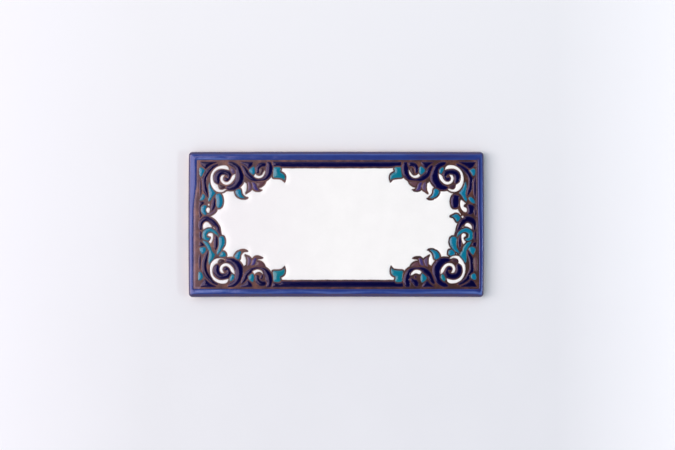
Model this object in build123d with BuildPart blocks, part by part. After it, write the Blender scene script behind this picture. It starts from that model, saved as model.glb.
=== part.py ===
from build123d import *
import os

# House name plaque: one pressed and fired earthenware tile, glazed on the face
# and over its edges.  Millimetres.  The tile lies on its back: X runs along the
# plaque, Y up the plaque as it is read on a wall, Z out of the glazed face.
# The origin is the middle of the back face.

# ---- plate -----------------------------------------------------------------
LENGTH = 200.0          # end to end, between the four corners
HEIGHT = 98.6           # bottom to top, between the four corners
THICKNESS = 8.0         # back face to the crest of the glazed border
CORNER_R = 2.6          # plan radius of the four corners
END_BOW = 0.35          # the two short ends swell outward by this at mid height
TOP_BOW = 0.20          # the top edge swells outward by this at mid length
BOTTOM_BOW = -0.20      # the bottom edge draws inward by this at mid length
ARRIS_R = 1.7           # rounding of the face's outer edge, under the glaze
BACK_CHAMFER = 0.5      # small break on the back's outer edge

# ---- relief of the face -----------------------------------------------------
BORDER_TOP = 6.2        # corner line to the middle of the frame line, top and bottom
BORDER_LEFT = 6.25      # the same at the left end
BORDER_RIGHT = 4.55     # and at the right end: the drawing sits a little to the right
LINE_W = 1.7            # width of the bare frame line between border and field
LINE_DEPTH = 0.55       # frame line below the border's crest
FIELD_DEPTH = 0.15      # glazed field below the border's crest
BORDER_INNER_R = 0.35   # rounding of the glaze where the border meets the line

# ---- keying of the back -----------------------------------------------------
KEY_COUNT = 6           # shallow grooves that the wall adhesive keys into
KEY_PITCH = 14.0
KEY_W = 7.0
KEY_LENGTH = 182.0
KEY_DEPTH = 0.6

hx = LENGTH / 2
# the plate is centred on its own bounding box, so the swollen top shifts it down
y_low = -HEIGHT / 2 - TOP_BOW / 2
y_high = HEIGHT / 2 - TOP_BOW / 2
y_mid = (y_low + y_high) / 2

# frame line: the rectangle on which the bare line runs
frame_w = LENGTH - BORDER_LEFT - BORDER_RIGHT
frame_h = HEIGHT - 2 * BORDER_TOP
frame_x = (BORDER_LEFT - BORDER_RIGHT) / 2

with BuildPart() as tile:
    # outline: four very flat arcs between the corners
    with BuildSketch(Plane.XY) as outline:
        with BuildLine():
            ThreePointArc((-hx, y_low), (0, y_low - BOTTOM_BOW), (hx, y_low))
            ThreePointArc((hx, y_low), (hx + END_BOW, y_mid), (hx, y_high))
            ThreePointArc((hx, y_high), (0, y_high + TOP_BOW), (-hx, y_high))
            ThreePointArc((-hx, y_high), (-hx - END_BOW, y_mid), (-hx, y_low))
        make_face()
        fillet(outline.vertices(), CORNER_R)
    extrude(amount=THICKNESS)

    # rounded arris round the face, small break round the back
    fillet(tile.faces().sort_by(Axis.Z)[-1].outer_wire().edges(), ARRIS_R)
    chamfer(tile.faces().sort_by(Axis.Z)[0].outer_wire().edges(), BACK_CHAMFER)

    # the field inside the frame line lies a little lower than the border
    with BuildSketch(Plane.XY.offset(THICKNESS)) as field:
        with Locations((frame_x, y_mid)):
            Rectangle(frame_w + LINE_W, frame_h + LINE_W)
    extrude(amount=-FIELD_DEPTH, mode=Mode.SUBTRACT)

    # the frame line itself, sunk between the two glazes
    with BuildSketch(Plane.XY.offset(THICKNESS - FIELD_DEPTH)) as frame_line:
        with Locations((frame_x, y_mid)):
            Rectangle(frame_w + LINE_W, frame_h + LINE_W)
            Rectangle(frame_w - LINE_W, frame_h - LINE_W, mode=Mode.SUBTRACT)
    extrude(amount=-(LINE_DEPTH - FIELD_DEPTH), mode=Mode.SUBTRACT)

    # the border's glaze rolls over into the line
    border_top = tile.faces().filter_by(Plane.XY).sort_by(Axis.Z)[-1]
    fillet(border_top.inner_wires()[0].edges(), BORDER_INNER_R)

    # keying grooves along the back
    with BuildSketch(Plane.XY) as keys:
        with GridLocations(0, KEY_PITCH, 1, KEY_COUNT):
            SlotOverall(KEY_LENGTH, KEY_W)
    extrude(amount=KEY_DEPTH, mode=Mode.SUBTRACT)

tile.part.label = "ceramic_tile"

os.makedirs("parts", exist_ok=True)
export_step(tile.part, "parts/ceramic_tile.step")

box = tile.part.bounding_box()
print("size", box.size, "min", box.min, "max", box.max)
print("volume mm3", round(tile.part.volume, 1), "valid", tile.part.is_valid)
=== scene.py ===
import math

import bpy
import numpy as np
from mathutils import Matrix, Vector, geometry


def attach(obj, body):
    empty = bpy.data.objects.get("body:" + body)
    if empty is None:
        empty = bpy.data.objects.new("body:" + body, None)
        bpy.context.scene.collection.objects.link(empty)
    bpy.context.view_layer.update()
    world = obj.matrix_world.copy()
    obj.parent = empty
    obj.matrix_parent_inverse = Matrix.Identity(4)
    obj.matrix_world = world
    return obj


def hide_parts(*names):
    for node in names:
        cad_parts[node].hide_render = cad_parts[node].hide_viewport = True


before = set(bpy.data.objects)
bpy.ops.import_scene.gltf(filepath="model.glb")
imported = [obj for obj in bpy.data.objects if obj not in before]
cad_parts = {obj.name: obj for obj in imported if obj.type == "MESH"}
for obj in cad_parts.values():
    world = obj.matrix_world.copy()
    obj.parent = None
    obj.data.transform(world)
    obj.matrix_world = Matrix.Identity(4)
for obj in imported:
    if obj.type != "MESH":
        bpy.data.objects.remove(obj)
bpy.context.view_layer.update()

# ---------------------------------------------------------------------------
# The plaque is one glazed tile. Its drawing is laid out here as outlines of
# the glaze cells, in drawing units of 0.677 mm counted right and down from a
# far corner, and everything else (the sunken bare lines between the cells,
# the domed glaze, the bead round the edge) is worked out from them.
# ---------------------------------------------------------------------------
UNIT = 0.677                    # mm to a drawing unit
MID_X, MID_Y = 336.23, 224.4    # drawing position of the middle of the tile
FLIP_X, FLIP_Y = 675.0, 448.0   # the drawing mirrors left to right and, in its corners, top to bottom


def to_mm(p):
    return np.stack([(p[:, 0] - MID_X) * UNIT, (MID_Y - p[:, 1]) * UNIT], 1)


# P: closed outline, a third value of 1 marks a sharp corner.
# S: brush stroke, x, y and half width.
# n navy, t turquoise, w white, v violet, p plum
CORNER = [
    ("tri", "n", "P", [(201.0, 162.3, 1), (208, 162.1), (215.8, 162.2, 1), (212.4, 163.9), (209.3, 165.8), (206.7, 167.8), (205.1, 168.7, 1), (203.2, 166.2)]),
    ("leaf_c", "t", "P", [(200.1, 167.8, 1), (203.0, 168.5), (204.9, 170.6), (204.2, 173.6), (202.4, 175.7), (201.0, 177.0, 1), (199.9, 174.2), (199.5, 171.2)]),
    ("stem", "n", "S", [(217.2, 164.6, 0.25), (213.6, 166.0, 0.9), (209.8, 168.9, 1.4), (206.4, 173.0, 1.6), (204.2, 177.8, 1.65), (203.7, 183.0, 1.65), (204.5, 188.0, 1.6), (206.2, 192.6, 1.1), (207.8, 196.6, 0.2)]),
    ("cres", "w", "P", [(229.3, 170.2, 1), (228.2, 167.3), (226.3, 165.7), (222.5, 165.4), (218.5, 166.3), (214.5, 168.8), (211.8, 172.3), (210.5, 176.5), (210.4, 181), (211.4, 185.5), (213.6, 189.2), (216.6, 191.5), (220, 192.2), (223.4, 191.6), (226.4, 189.4, 1), (224.8, 189.0), (222.3, 189.8), (219.6, 189.3), (218.3, 187.2), (217.9, 185.0), (216.2, 184.0), (214.2, 182.3), (213.1, 179.4), (213.0, 176.2), (214.1, 173.0), (216.5, 170.5), (220, 169.0), (224, 168.9), (227.2, 169.6)]),
    ("cres_low", "w", "P", [(229.3, 170.2, 1), (228.2, 167.3), (226.3, 165.7), (222.5, 165.4), (218.5, 166.3), (214.5, 168.8), (211.8, 172.3), (210.5, 176.5), (210.4, 181), (211.5, 185.0), (213.8, 188.0), (216.8, 189.8), (220, 190.4), (223.2, 190.1), (226.2, 188.6, 1), (224.8, 188.2), (222.3, 188.8), (219.6, 188.4), (218.3, 186.8), (217.9, 185.0), (216.2, 184.0), (214.2, 182.3), (213.1, 179.4), (213.0, 176.2), (214.1, 173.0), (216.5, 170.5), (220, 169.0), (224, 168.9), (227.2, 169.6)]),
    ("comma", "n", "S", [(217.4, 183.6, 0.3), (216.8, 181.2, 1.7), (216.9, 178, 2.1), (218.0, 174.9, 2.1), (220.8, 172.5, 2.0), (224.4, 171.9, 1.75), (227.8, 172.9, 1.6), (229.7, 175.4, 1.35), (229.9, 178.2, 1.3), (228.5, 180.3, 1.2), (226.6, 180.5, 1.1), (225.7, 179.2, 0.8)]),
    ("spiral", "w", "S", [(235.1, 174.0, 0.15), (233.5, 176.8, 1.55), (231.4, 180.6, 1.5), (228.4, 183.1, 1.4), (225.2, 183.3, 1.4), (222.6, 181.6, 1.35), (221.6, 178.8, 1.3), (222.4, 176.5, 1.2), (224.0, 175.4, 0.45)]),
    ("bud", "p", "P", [(219.9, 185.2), (221.8, 185.7), (224.0, 186.2), (225.2, 187.2), (224.0, 188.3), (221.8, 188.6), (220.1, 187.9), (219.4, 186.4)]),
    ("ring", "n", "S", [(229.6, 163.0, 0.2), (232.4, 164.3, 1.1), (235.6, 166.7, 1.7), (238.2, 170.2, 2.1), (239.5, 174.4, 2.4), (239.6, 178.6, 2.55), (238.2, 182.8, 2.55), (235.2, 186.3, 2.35), (231.6, 188.1, 1.9), (228.6, 188.5, 1.2), (227.2, 188.3, 0.4)]),
    ("leaf_j", "t", "P", [(231.2, 167.3, 1), (233.2, 168.3), (234.8, 170.2), (235.0, 172.4), (233.9, 173.6), (232.2, 173.5), (231.2, 172.0), (230.8, 169.6)]),
    ("leaf_k", "t", "P", [(209.5, 182.8, 1), (210.4, 185.6), (211.8, 188.8), (213.6, 191.4), (215.2, 193.2, 1), (213.4, 194.8), (211.8, 197.0), (210.5, 199.4), (208.9, 201.3, 1), (208.5, 199.0), (209.0, 196.4), (209.3, 193.6), (209.1, 190.0), (209.0, 186.4)]),
    ("thorn", "t", "P", [(236.2, 189.6), (238.4, 188.6), (240.2, 189.0), (240.9, 190.6), (241.3, 193), (242.4, 195.2), (243.6, 196.6), (244.8, 197.4, 1), (242.6, 197.9), (240.6, 197.6), (238.2, 196.6), (236.3, 194.6), (235.3, 192.0), (235.3, 190.5)]),
    ("petal1", "v", "P", [(248.0, 181.4, 1), (250.0, 182.6), (251.4, 184.8), (251.6, 187.4), (250.8, 188.8), (249.6, 189.9), (248.4, 190.6), (247.5, 190.9, 1), (247.9, 188.8), (248.1, 186.2), (247.9, 183.6)]),
    ("petal2", "v", "P", [(251.6, 182.0, 1), (254.4, 182.4), (256.2, 184.2), (256.4, 186.2), (257.4, 188.2), (258.8, 189.3), (259.6, 189.8, 1), (257.6, 190.2), (255.6, 190.0), (253.8, 188.9), (253.0, 187.0), (252.6, 184.4)]),
    ("petal3", "p", "P", [(255.8, 181.9, 1), (259.4, 181.6), (262.6, 181.4), (265.0, 181.2, 1), (264.0, 183.2), (262.2, 184.9), (259.8, 186.1), (258.0, 186.0), (257.2, 184.2)]),
    ("ring2", "n", "S", [(268.7, 163.6, 1.4), (269.3, 167.0, 2.2), (268.9, 171.3, 2.3), (267.0, 175.5, 2.0), (263.6, 178.4, 1.25), (259.2, 179.7, 0.95), (255.0, 179.3, 1.1), (251.2, 177.5, 1.6), (248.0, 174.7, 1.8), (245.6, 171.4, 1.6), (243.9, 168.4, 1.2), (242.4, 166.2, 0.3)]),
    ("leaf_r", "t", "P", [(253.6, 167.0, 1), (254.5, 169.4), (254.4, 172.4), (253.4, 174.8, 1), (251.2, 173.6), (249.0, 171.6, 1), (250.0, 169.6), (251.8, 168.0)]),
    ("cres2", "w", "P", [(255.3, 173.7, 1), (253.7, 176.2, 1), (256.0, 177.7), (259.0, 178.2), (262.2, 177.2), (264.3, 174.6), (265.1, 171.8), (264.8, 170.2, 1), (263.4, 172.6), (261.8, 174.9), (259.6, 175.9), (257.2, 175.3)]),
    ("comma2", "n", "S", [(264.6, 164.6, 0.9), (261.6, 164.5, 1.2), (258.8, 166.3, 1.25), (257.6, 169.0, 1.1), (257.8, 171.8, 0.7)]),
    ("eye2", "p", "S", [(262.0, 169.2, 0.7), (261.7, 171.3, 1.15), (261.0, 173.2, 0.7)]),
    ("tri2", "n", "P", [(241.2, 162.5, 1), (246, 162.3), (252.2, 162.5, 1), (251.5, 164.8), (249.6, 166.8), (247.9, 168.0, 1), (246.4, 166.2), (243.8, 164.0)]),
    ("trilobe", "t", "P", [(274.5, 167.5), (277.0, 166.9), (279.8, 167.3), (280.7, 168.6), (280.2, 170.6), (279.8, 172.2, 1), (282.0, 172.9), (284.0, 174.4), (284.9, 176.6), (284.8, 178.8), (284.3, 180.6, 1), (282.8, 179.0), (280.4, 178.2), (277.0, 177.8), (274.0, 177.7), (273.0, 177.4, 1), (273.8, 174.0), (274.0, 170.4)]),
]
# down the left end, between the corners
LEFT = [
    ("kidney", "t", "P", [(216.2, 194.8), (217.9, 193.9), (220.1, 194.1), (221.7, 196.0), (222.5, 199.2), (222.6, 203), (221.7, 206.2), (220.1, 207.7), (218.2, 207.8), (216.7, 206.2), (216.3, 203), (216.4, 199.6), (215.8, 197)]),
    ("strip", "n", "P", [(200.1, 177.8, 1), (201.1, 181.5), (201.5, 187), (201.4, 191.5), (201.0, 195), (200.3, 198.2, 1), (199.5, 192), (199.5, 184)]),
    ("leaf_j", "v", "P", [(231.2, 167.3, 1), (233.2, 168.3), (234.8, 170.2), (235.0, 172.4), (233.9, 173.6), (232.2, 173.5), (231.2, 172.0), (230.8, 169.6)]),
    ("strip", "n", "P", [(199.9, 253.4, 1), (200.7, 256.5), (200.9, 260.5), (200.6, 265), (199.8, 271.0, 1), (198.7, 266), (198.6, 258.5)]),
    ("leaf_c", "t", "P", [(197.9, 280.2, 1), (200.6, 279.6), (202.4, 277.4), (202.0, 274.6), (200.6, 272.8), (199.4, 271.8, 1), (198.4, 274.2), (197.9, 277.2)]),
    ("small1", "t", "P", [(203.4, 194.7), (204.6, 196.1), (203.9, 198.5), (202.0, 200.2), (199.9, 200.6, 1), (200.7, 197.9), (201.9, 195.6)]),
    ("small2", "n", "P", [(199.7, 201.6, 1), (202.2, 201.5), (203.6, 202.5), (203.0, 204.0), (201.5, 205.0), (200.5, 206.8), (200.1, 209.5), (200.4, 212.4), (201.3, 214.8), (201.2, 216.6), (200.1, 218.0, 1), (199.3, 214), (199.2, 209), (199.3, 204.5)]),
    ("dot", "w", "P", [(208.7, 203.6), (209.7, 204.7), (208.7, 205.8), (207.7, 204.7)]),
    ("crescent", "t", "P", [(202.0, 206.4), (204.2, 205.4), (206.2, 206.2), (206.2, 207.5), (205.1, 208.9), (204.8, 210.6), (205.6, 212.4), (206.4, 213.9), (205.4, 214.6), (203.4, 213.7), (201.7, 211.9), (200.9, 209.4), (201.1, 207.6)]),
    ("oval", "w", "P", [(207.7, 207.5), (209.4, 207.9), (209.9, 209.8), (209.5, 211.8), (208.5, 213.0), (207.1, 212.3), (206.2, 210.7), (206.4, 208.8)]),
    ("slim", "n", "P", [(214.5, 198.4, 1), (215.4, 201), (215.2, 204.5), (214.5, 207.4), (213.1, 209.4), (211.9, 210.6, 1), (211.5, 208.4), (212.1, 205), (212.9, 201.4)]),
    ("hook", "v", "S", [(216.0, 207.6, 0.2), (215.2, 210.0, 0.75), (213.2, 212.3, 0.85), (210.4, 213.9, 0.8), (207.8, 214.6, 0.3)]),
    ("arch", "n", "S", [(200.4, 229.4, 0.3), (200.4, 225.6, 1.1), (201.7, 221.8, 1.5), (204.6, 219.1, 1.6), (208.4, 219.1, 1.6), (212.2, 221.0, 1.8), (215.3, 224.2, 1.7), (217.7, 228.0, 1.45), (219.2, 231.7, 0.8), (220.2, 234.2, 0.3)]),
    ("under_arch", "w", "P", [(203.3, 229.6, 1), (203.0, 226.2), (203.7, 223.8), (205.4, 222.1), (207.6, 222.1), (209.3, 223.4), (210.9, 225.2), (212.0, 227.2, 1), (210.2, 227.3), (207.8, 227.4), (205.6, 228.3)]),
    ("curl", "t", "S", [(218.6, 236.0, 0.2), (216.6, 233.5, 0.9), (213.6, 231.1, 1.1), (210.2, 229.8, 1.1), (206.9, 230.8, 1.45), (204.6, 233.3, 1.6), (204.3, 236.4, 1.6), (205.8, 238.6, 1.2), (208.2, 239.0, 0.9), (209.4, 238.4, 0.3)]),
    ("white_comma", "w", "P", [(209.0, 233.3), (211.0, 232.8), (212.7, 233.7), (213.2, 236.2), (212.8, 239.4), (211.9, 242.0), (210.7, 243.7, 1), (208.7, 241.8, 1), (210.1, 240.0), (211.0, 238.0), (210.6, 236.6), (208.8, 236.3), (207.6, 235.2), (208.0, 233.9)]),
    ("seed1", "n", "P", [(200.4, 230.6, 1), (201.5, 233.2), (201.6, 236.6), (200.8, 240.0, 1), (199.5, 237.2), (199.3, 233.4)]),
    ("seed2", "n", "P", [(215.9, 235.8, 1), (217.1, 238), (217.6, 242), (217.0, 246), (215.6, 249.6, 1), (214.4, 247), (214.2, 242), (214.9, 238)]),
    ("long_leaf", "t", "P", [(219.5, 237.2), (221.1, 236.3), (223.1, 236.5), (224.3, 238.4), (224.8, 241.4), (224.1, 244.8), (222.6, 247.6), (220.9, 250.2), (219.2, 252.5), (217.3, 254.2, 1), (217.3, 252.2), (218.6, 248.8), (219.2, 245), (219.1, 241), (218.9, 238.8)]),
    ("s_stem", "t", "P", [(203.2, 241.0, 1), (206.4, 242.2), (208.8, 244.6), (210.4, 247.6), (211.3, 250.8), (212.8, 252.8), (214.6, 254.6, 1), (213.4, 257.2), (211.8, 259.8), (210.4, 262.4), (209.4, 264.6, 1), (208.8, 261), (209.0, 257), (209.2, 253.2), (208.4, 249.6), (206.8, 246.2), (204.6, 243.4)]),
    ("small3", "t", "P", [(199.9, 247.8, 1), (202.4, 247.0), (205.0, 248.1), (205.4, 250.4), (204.0, 252.6), (202.4, 253.6, 1), (200.8, 251.6), (200.2, 249.6)]),
    ("bit2", "n", "P", [(199.5, 242.4, 1), (201.2, 242.6), (203.0, 243.7), (204.3, 245.4, 1), (202.8, 246.2), (200.9, 246.4), (199.7, 247.0, 1), (199.4, 244.8)]),
    ("leaf_m", "t", "P", [(222.6, 251.5), (224.2, 251.9), (225.7, 253.8), (226.0, 255.8), (224.0, 256.3), (221.2, 256.4), (219.4, 255.9, 1), (220.5, 254.6), (221.5, 252.8)]),
]
# down the right end, given mirrored, where it isn't the same as the left
RIGHT = [
    ("kidney", "n", "P", [(216.0, 196.4), (218.4, 194.9), (220.7, 194.6), (222.7, 196.6), (223.9, 200), (223.9, 203.6), (222.9, 206.8), (220.9, 208.2), (218.4, 208.0), (216.9, 205.6), (216.4, 202), (216.6, 199)]),
    ("strip", "n", "P", [(199.3, 176.2, 1), (201.2, 180), (201.8, 186.5), (201.5, 192), (200.5, 197.0), (199.4, 199.0, 1), (198.9, 192), (198.9, 184)]),
    ("strip", "p", "P", [(198.4, 256.0, 1), (200.2, 258.0), (200.8, 262), (200.6, 266.5), (199.6, 270.5), (198.2, 272.5, 1), (197.9, 266), (197.9, 260)]),
    ("small1", "t", "P", [(205.4, 197.4), (205.8, 198.7), (204.5, 200.8), (202.4, 202.5), (200.2, 203.0, 1), (201.4, 199.9), (203.5, 197.9)]),
    ("big_comma", "w", "P", [(213.7, 199.7), (214.6, 201.6), (214.7, 205), (213.8, 208.2), (212, 210.9), (209.6, 212.2), (208.1, 211.5), (208.1, 208.7), (209.2, 207.5), (211.0, 206.8), (211.2, 205.4), (210.2, 204.2), (209.0, 203.3, 1), (210.6, 202.1), (212.2, 200.7)]),
    ("crescent", "n", "P", [(201.7, 206.0), (204.2, 204.6), (206.4, 204.8), (207.4, 206.3), (206.9, 208.4), (206.7, 210.8), (206.9, 213.2), (205.0, 214.2), (202.8, 213.4), (201.1, 211.4), (200.7, 208.6)]),
    ("flame", "t", "P", [(216.6, 214.7), (219.4, 214.0), (221.6, 215.0), (224.3, 216.3, 1), (221.5, 217.0), (219.8, 219.0), (218.2, 221.6), (216.4, 221.0), (215.0, 219.4), (215.2, 217.0)]),
    ("speck", "w", "P", [(211.4, 216.0), (213.4, 216.0), (213.2, 217.6), (212.2, 218.2)]),
    ("arch", "n", "S", [(200.9, 229.2, 0.4), (201.1, 225, 1.5), (203.2, 220.8, 2.1), (206.4, 218.8, 1.9), (209.6, 219.4, 1.9), (212.4, 221.5, 1.8), (214.7, 224.8, 1.8), (216.4, 228.4, 1.4), (217.8, 231.8, 0.8), (219.2, 234.4, 0.3)]),
    ("under_arch", "w", "P", [(202.9, 229.4, 1), (203.1, 226.8), (204.3, 224.4), (206.4, 223.0), (208.5, 223.2), (210.0, 224.8), (210.4, 226.0, 1), (208.4, 226.5), (206.2, 227.2), (204.4, 228.4)]),
    ("curl", "t", "S", [(218.2, 236.6, 0.2), (215.8, 232.8, 1.2), (212.6, 230.8, 1.3), (209.2, 230.0, 1.5), (205.9, 231.4, 1.65), (203.9, 234.2, 1.8), (204.3, 237.3, 1.8), (206.3, 239.2, 1.3), (208.4, 239.4, 0.6)]),
    ("white_comma", "w", "P", [(209.2, 234.4), (211.4, 233.3), (213.2, 234.5), (213.4, 238), (212.8, 241.6), (211.6, 244.6, 1), (208.9, 241.9, 1), (210.4, 240.2), (211.4, 238.2), (210.7, 236.9), (209.3, 236.1)]),
    ("seed1", "n", "P", [(199.8, 231.0, 1), (201.2, 233.6), (201.3, 237), (200.2, 240.6, 1), (199.0, 237), (198.9, 233.4)]),
    ("seed2", "n", "P", [(214.6, 236.0, 1), (216.0, 239), (216.4, 243), (215.9, 246.5), (215.0, 249.0, 1), (214.4, 245.5), (214.2, 242), (214.2, 238.6)]),
    ("long_leaf", "t", "P", [(218.7, 237.7), (220.6, 236.6), (223.2, 236.8), (224.8, 238.7), (225.3, 241.8), (224.2, 245.6), (222.2, 248.6), (219.7, 251.1), (217.0, 252.9), (215.4, 253.7, 1), (216.5, 251.4), (218.3, 248.4), (219.1, 244.6), (218.9, 240.8)]),
    ("s_stem", "t", "P", [(203.8, 241.6, 1), (206.6, 242.6), (209.4, 245), (211.4, 248), (211.8, 250.6), (213.6, 252.6), (215.4, 254.6, 1), (214.4, 256.6), (212.4, 258.8), (211, 261), (210, 263.4, 1), (208.9, 260.5), (209.1, 256.6), (208.9, 252.6), (207.7, 248.6), (205.7, 245.2)]),
    ("small3", "t", "P", [(199.6, 249.4, 1), (201.3, 247.5), (204.2, 247.4), (206.0, 248.7), (205.4, 251), (203.7, 253.1), (201.9, 254.5, 1), (200.8, 252.4), (200.1, 250.7)]),
    ("bit2", "n", "P", [(198.9, 242.2, 1), (201.0, 242.4), (202.9, 244.2, 1), (201.6, 246.0), (199.0, 246.4)]),
    ("leaf_c", "t", "P", [(199.4, 279.2, 1), (202.0, 279.4), (203.6, 278.2), (204.2, 276.2), (203.2, 274.3), (201.0, 273.7), (199.6, 274.6, 1), (199.2, 277)]),
    ("bit1", "n", "P", [(199.9, 208.8, 1), (200.5, 211.2), (200.3, 213.8), (199.5, 216.0, 1), (198.6, 213.6), (198.6, 210.6)]),
    ("leaf_m", "t", "P", [(221.2, 251.0), (223.2, 249.9), (225.8, 250.2), (226.8, 252.4), (226.6, 254.6), (224.4, 255.2), (221.8, 254.8), (220.2, 253.6)]),
]
# where the bare line fills what lies between the cells
MASS = [
    [(197, 160), (233, 160), (240, 164.4), (243.6, 171), (244.6, 180.4), (242.6, 184.8), (238, 189.2), (233, 191.2), (228.5, 191.0), (226, 191.4), (221.5, 193.4), (216.4, 193.8), (214.8, 197), (212.4, 201), (209, 203.5), (203, 203), (197, 203)],
    [(233, 160), (273.2, 160), (273.4, 168), (272.4, 175), (269, 179.4), (264.5, 182.2), (258, 184), (250, 183.2), (246.6, 183.2), (244.2, 181.2), (243.2, 176), (243.6, 171), (240, 164.4)],
]
# and the tails of leaves and petals, which run out into bare line
TAILS = {
    "thorn": [(241.0, 198.4), (243.0, 196.0), (245.4, 196.5), (248.5, 197.3), (247.0, 198.8), (243.8, 199.3)],
    "petal1": [(246.8, 188.8), (250.0, 190.2), (248.2, 192.4), (245.5, 193.8), (245.3, 192.4), (246.4, 190.6)],
    "petal2": [(257.4, 188.4), (259.8, 189.0), (262.4, 189.5), (260.4, 191.2), (256.6, 191.3), (254.6, 190.2)],
    "trilobe": [(283.2, 179.6), (285.4, 179.0), (285.5, 181.0), (284.7, 182.7), (283.7, 181.3)],
}
MASS_LEFT = [
    [(197, 200), (209, 200), (214, 197), (216.3, 196.4), (216.8, 203), (217.0, 208.2), (216.4, 210.0), (215.4, 212.0), (213.7, 214.0), (211.2, 215.9), (208.6, 217.2), (206, 217.6), (203, 217.6), (199, 221), (197, 222)],
    [(197, 218), (203, 217.6), (204, 226), (203.2, 230), (206, 228.4), (212, 228.2), (217, 232), (220, 235.4), (218.9, 238), (219.0, 245), (217.2, 251), (216.8, 255), (219, 256.8), (222, 257.2), (219, 258.2), (214, 259), (209, 262), (203, 263), (197, 263)],
]
MASS_RIGHT = [
    [(197, 200), (209, 200), (214, 197), (216.3, 196.4), (216.8, 203), (217.0, 208.6), (215.6, 211.6), (213.8, 214.6), (213.8, 219), (209.5, 218.4), (203, 217.6), (199, 221), (197, 222)],
    MASS_LEFT[1],
]
# cells that were drawn differently in one corner or another
PETAL_LOW = ("v", "P", [(251.6, 182.0, 1), (254.4, 182.4), (256.0, 184.2), (256.2, 186.2), (256.8, 187.6), (256.9, 188.6), (255.8, 189.0), (254.2, 188.6), (253.2, 187.0), (252.6, 184.4)])
FOOT_LEFT = {
    "petal2": PETAL_LOW,
    "thorn": ("t", "P", [(236.2, 189.6), (238.4, 188.6), (240.0, 189.2), (240.5, 190.6), (240.6, 193), (241.0, 195), (241.2, 196.4), (240.2, 196.9), (238.2, 196.1), (236.5, 194.3), (235.3, 192.0), (235.3, 190.5)]),
    "cres2": ("w", "P", [(255.1, 173.6, 1), (253.1, 176.6, 1), (255.6, 178.0), (258.4, 178.6), (261.0, 178.0), (262.8, 176.4), (263.8, 173.9, 1), (262.6, 174.9), (260.6, 176.0), (258.6, 176.0), (256.6, 175.2)]),
    "comma2": ("n", "S", [(265.6, 165.4, 1.0), (262.6, 165.0, 1.5), (259.8, 166.3, 1.6), (258.1, 169.0, 1.2), (257.8, 171.9, 0.7)]),
    "eye2": ("n", "S", [(262.6, 172.6, 0.35), (262.1, 171.0, 0.7), (261.2, 169.9, 0.35)]),
    "thorn_tail": [(248.9, 196.7), (246.9, 198.5), (244.1, 199.2), (240.8, 198.6), (239.5, 197.6), (241.0, 193.6), (242.0, 192.9), (243.1, 194.8), (245.3, 196.1), (247.6, 196.2)],
    "petal2_tail": [(264.0, 190.1), (261.9, 191.5), (258.9, 192.6), (255.8, 192.4), (253.9, 190.9), (256.9, 188.4), (258.9, 188.9), (261.4, 189.1)],
}
FOOT_RIGHT = {
    "petal2": PETAL_LOW,
    "cres2": ("w", "P", [(255.5, 173.9, 1), (254.0, 176.0, 1), (255.8, 177.4), (258.3, 178.1), (260.8, 177.8), (263.0, 176.5), (264.7, 174.5), (265.0, 172.7, 1), (263.0, 173.4), (261.0, 174.5), (259.2, 174.7), (257.3, 174.2)]),
    "comma2": ("n", "S", [(265.4, 169.2, 0.6), (263.4, 168.4, 1.1), (261.0, 167.1, 1.6), (259.8, 165.2, 1.6), (259.5, 164.2, 1.2)]),
    "eye2": ("n", "S", [(261.0, 170.6, 0.1), (260.5, 171.3, 0.35), (260.0, 172.0, 0.1)]),
    "petal2_tail": [(263.6, 189.3), (261.3, 191.1), (258.3, 191.6), (255.3, 191.4), (253.8, 190.2), (254.8, 188.4), (258.3, 188.2), (261.2, 188.6)],
}
TOP_RIGHT = {
    "leaf_c": ("t", "P", [(199.6, 169.8, 1), (202.2, 169.2), (204.4, 170.6), (204.9, 172.6), (203.4, 174.8), (201.2, 175.8), (199.8, 175.0, 1), (199.4, 172.2)]),
}
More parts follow.
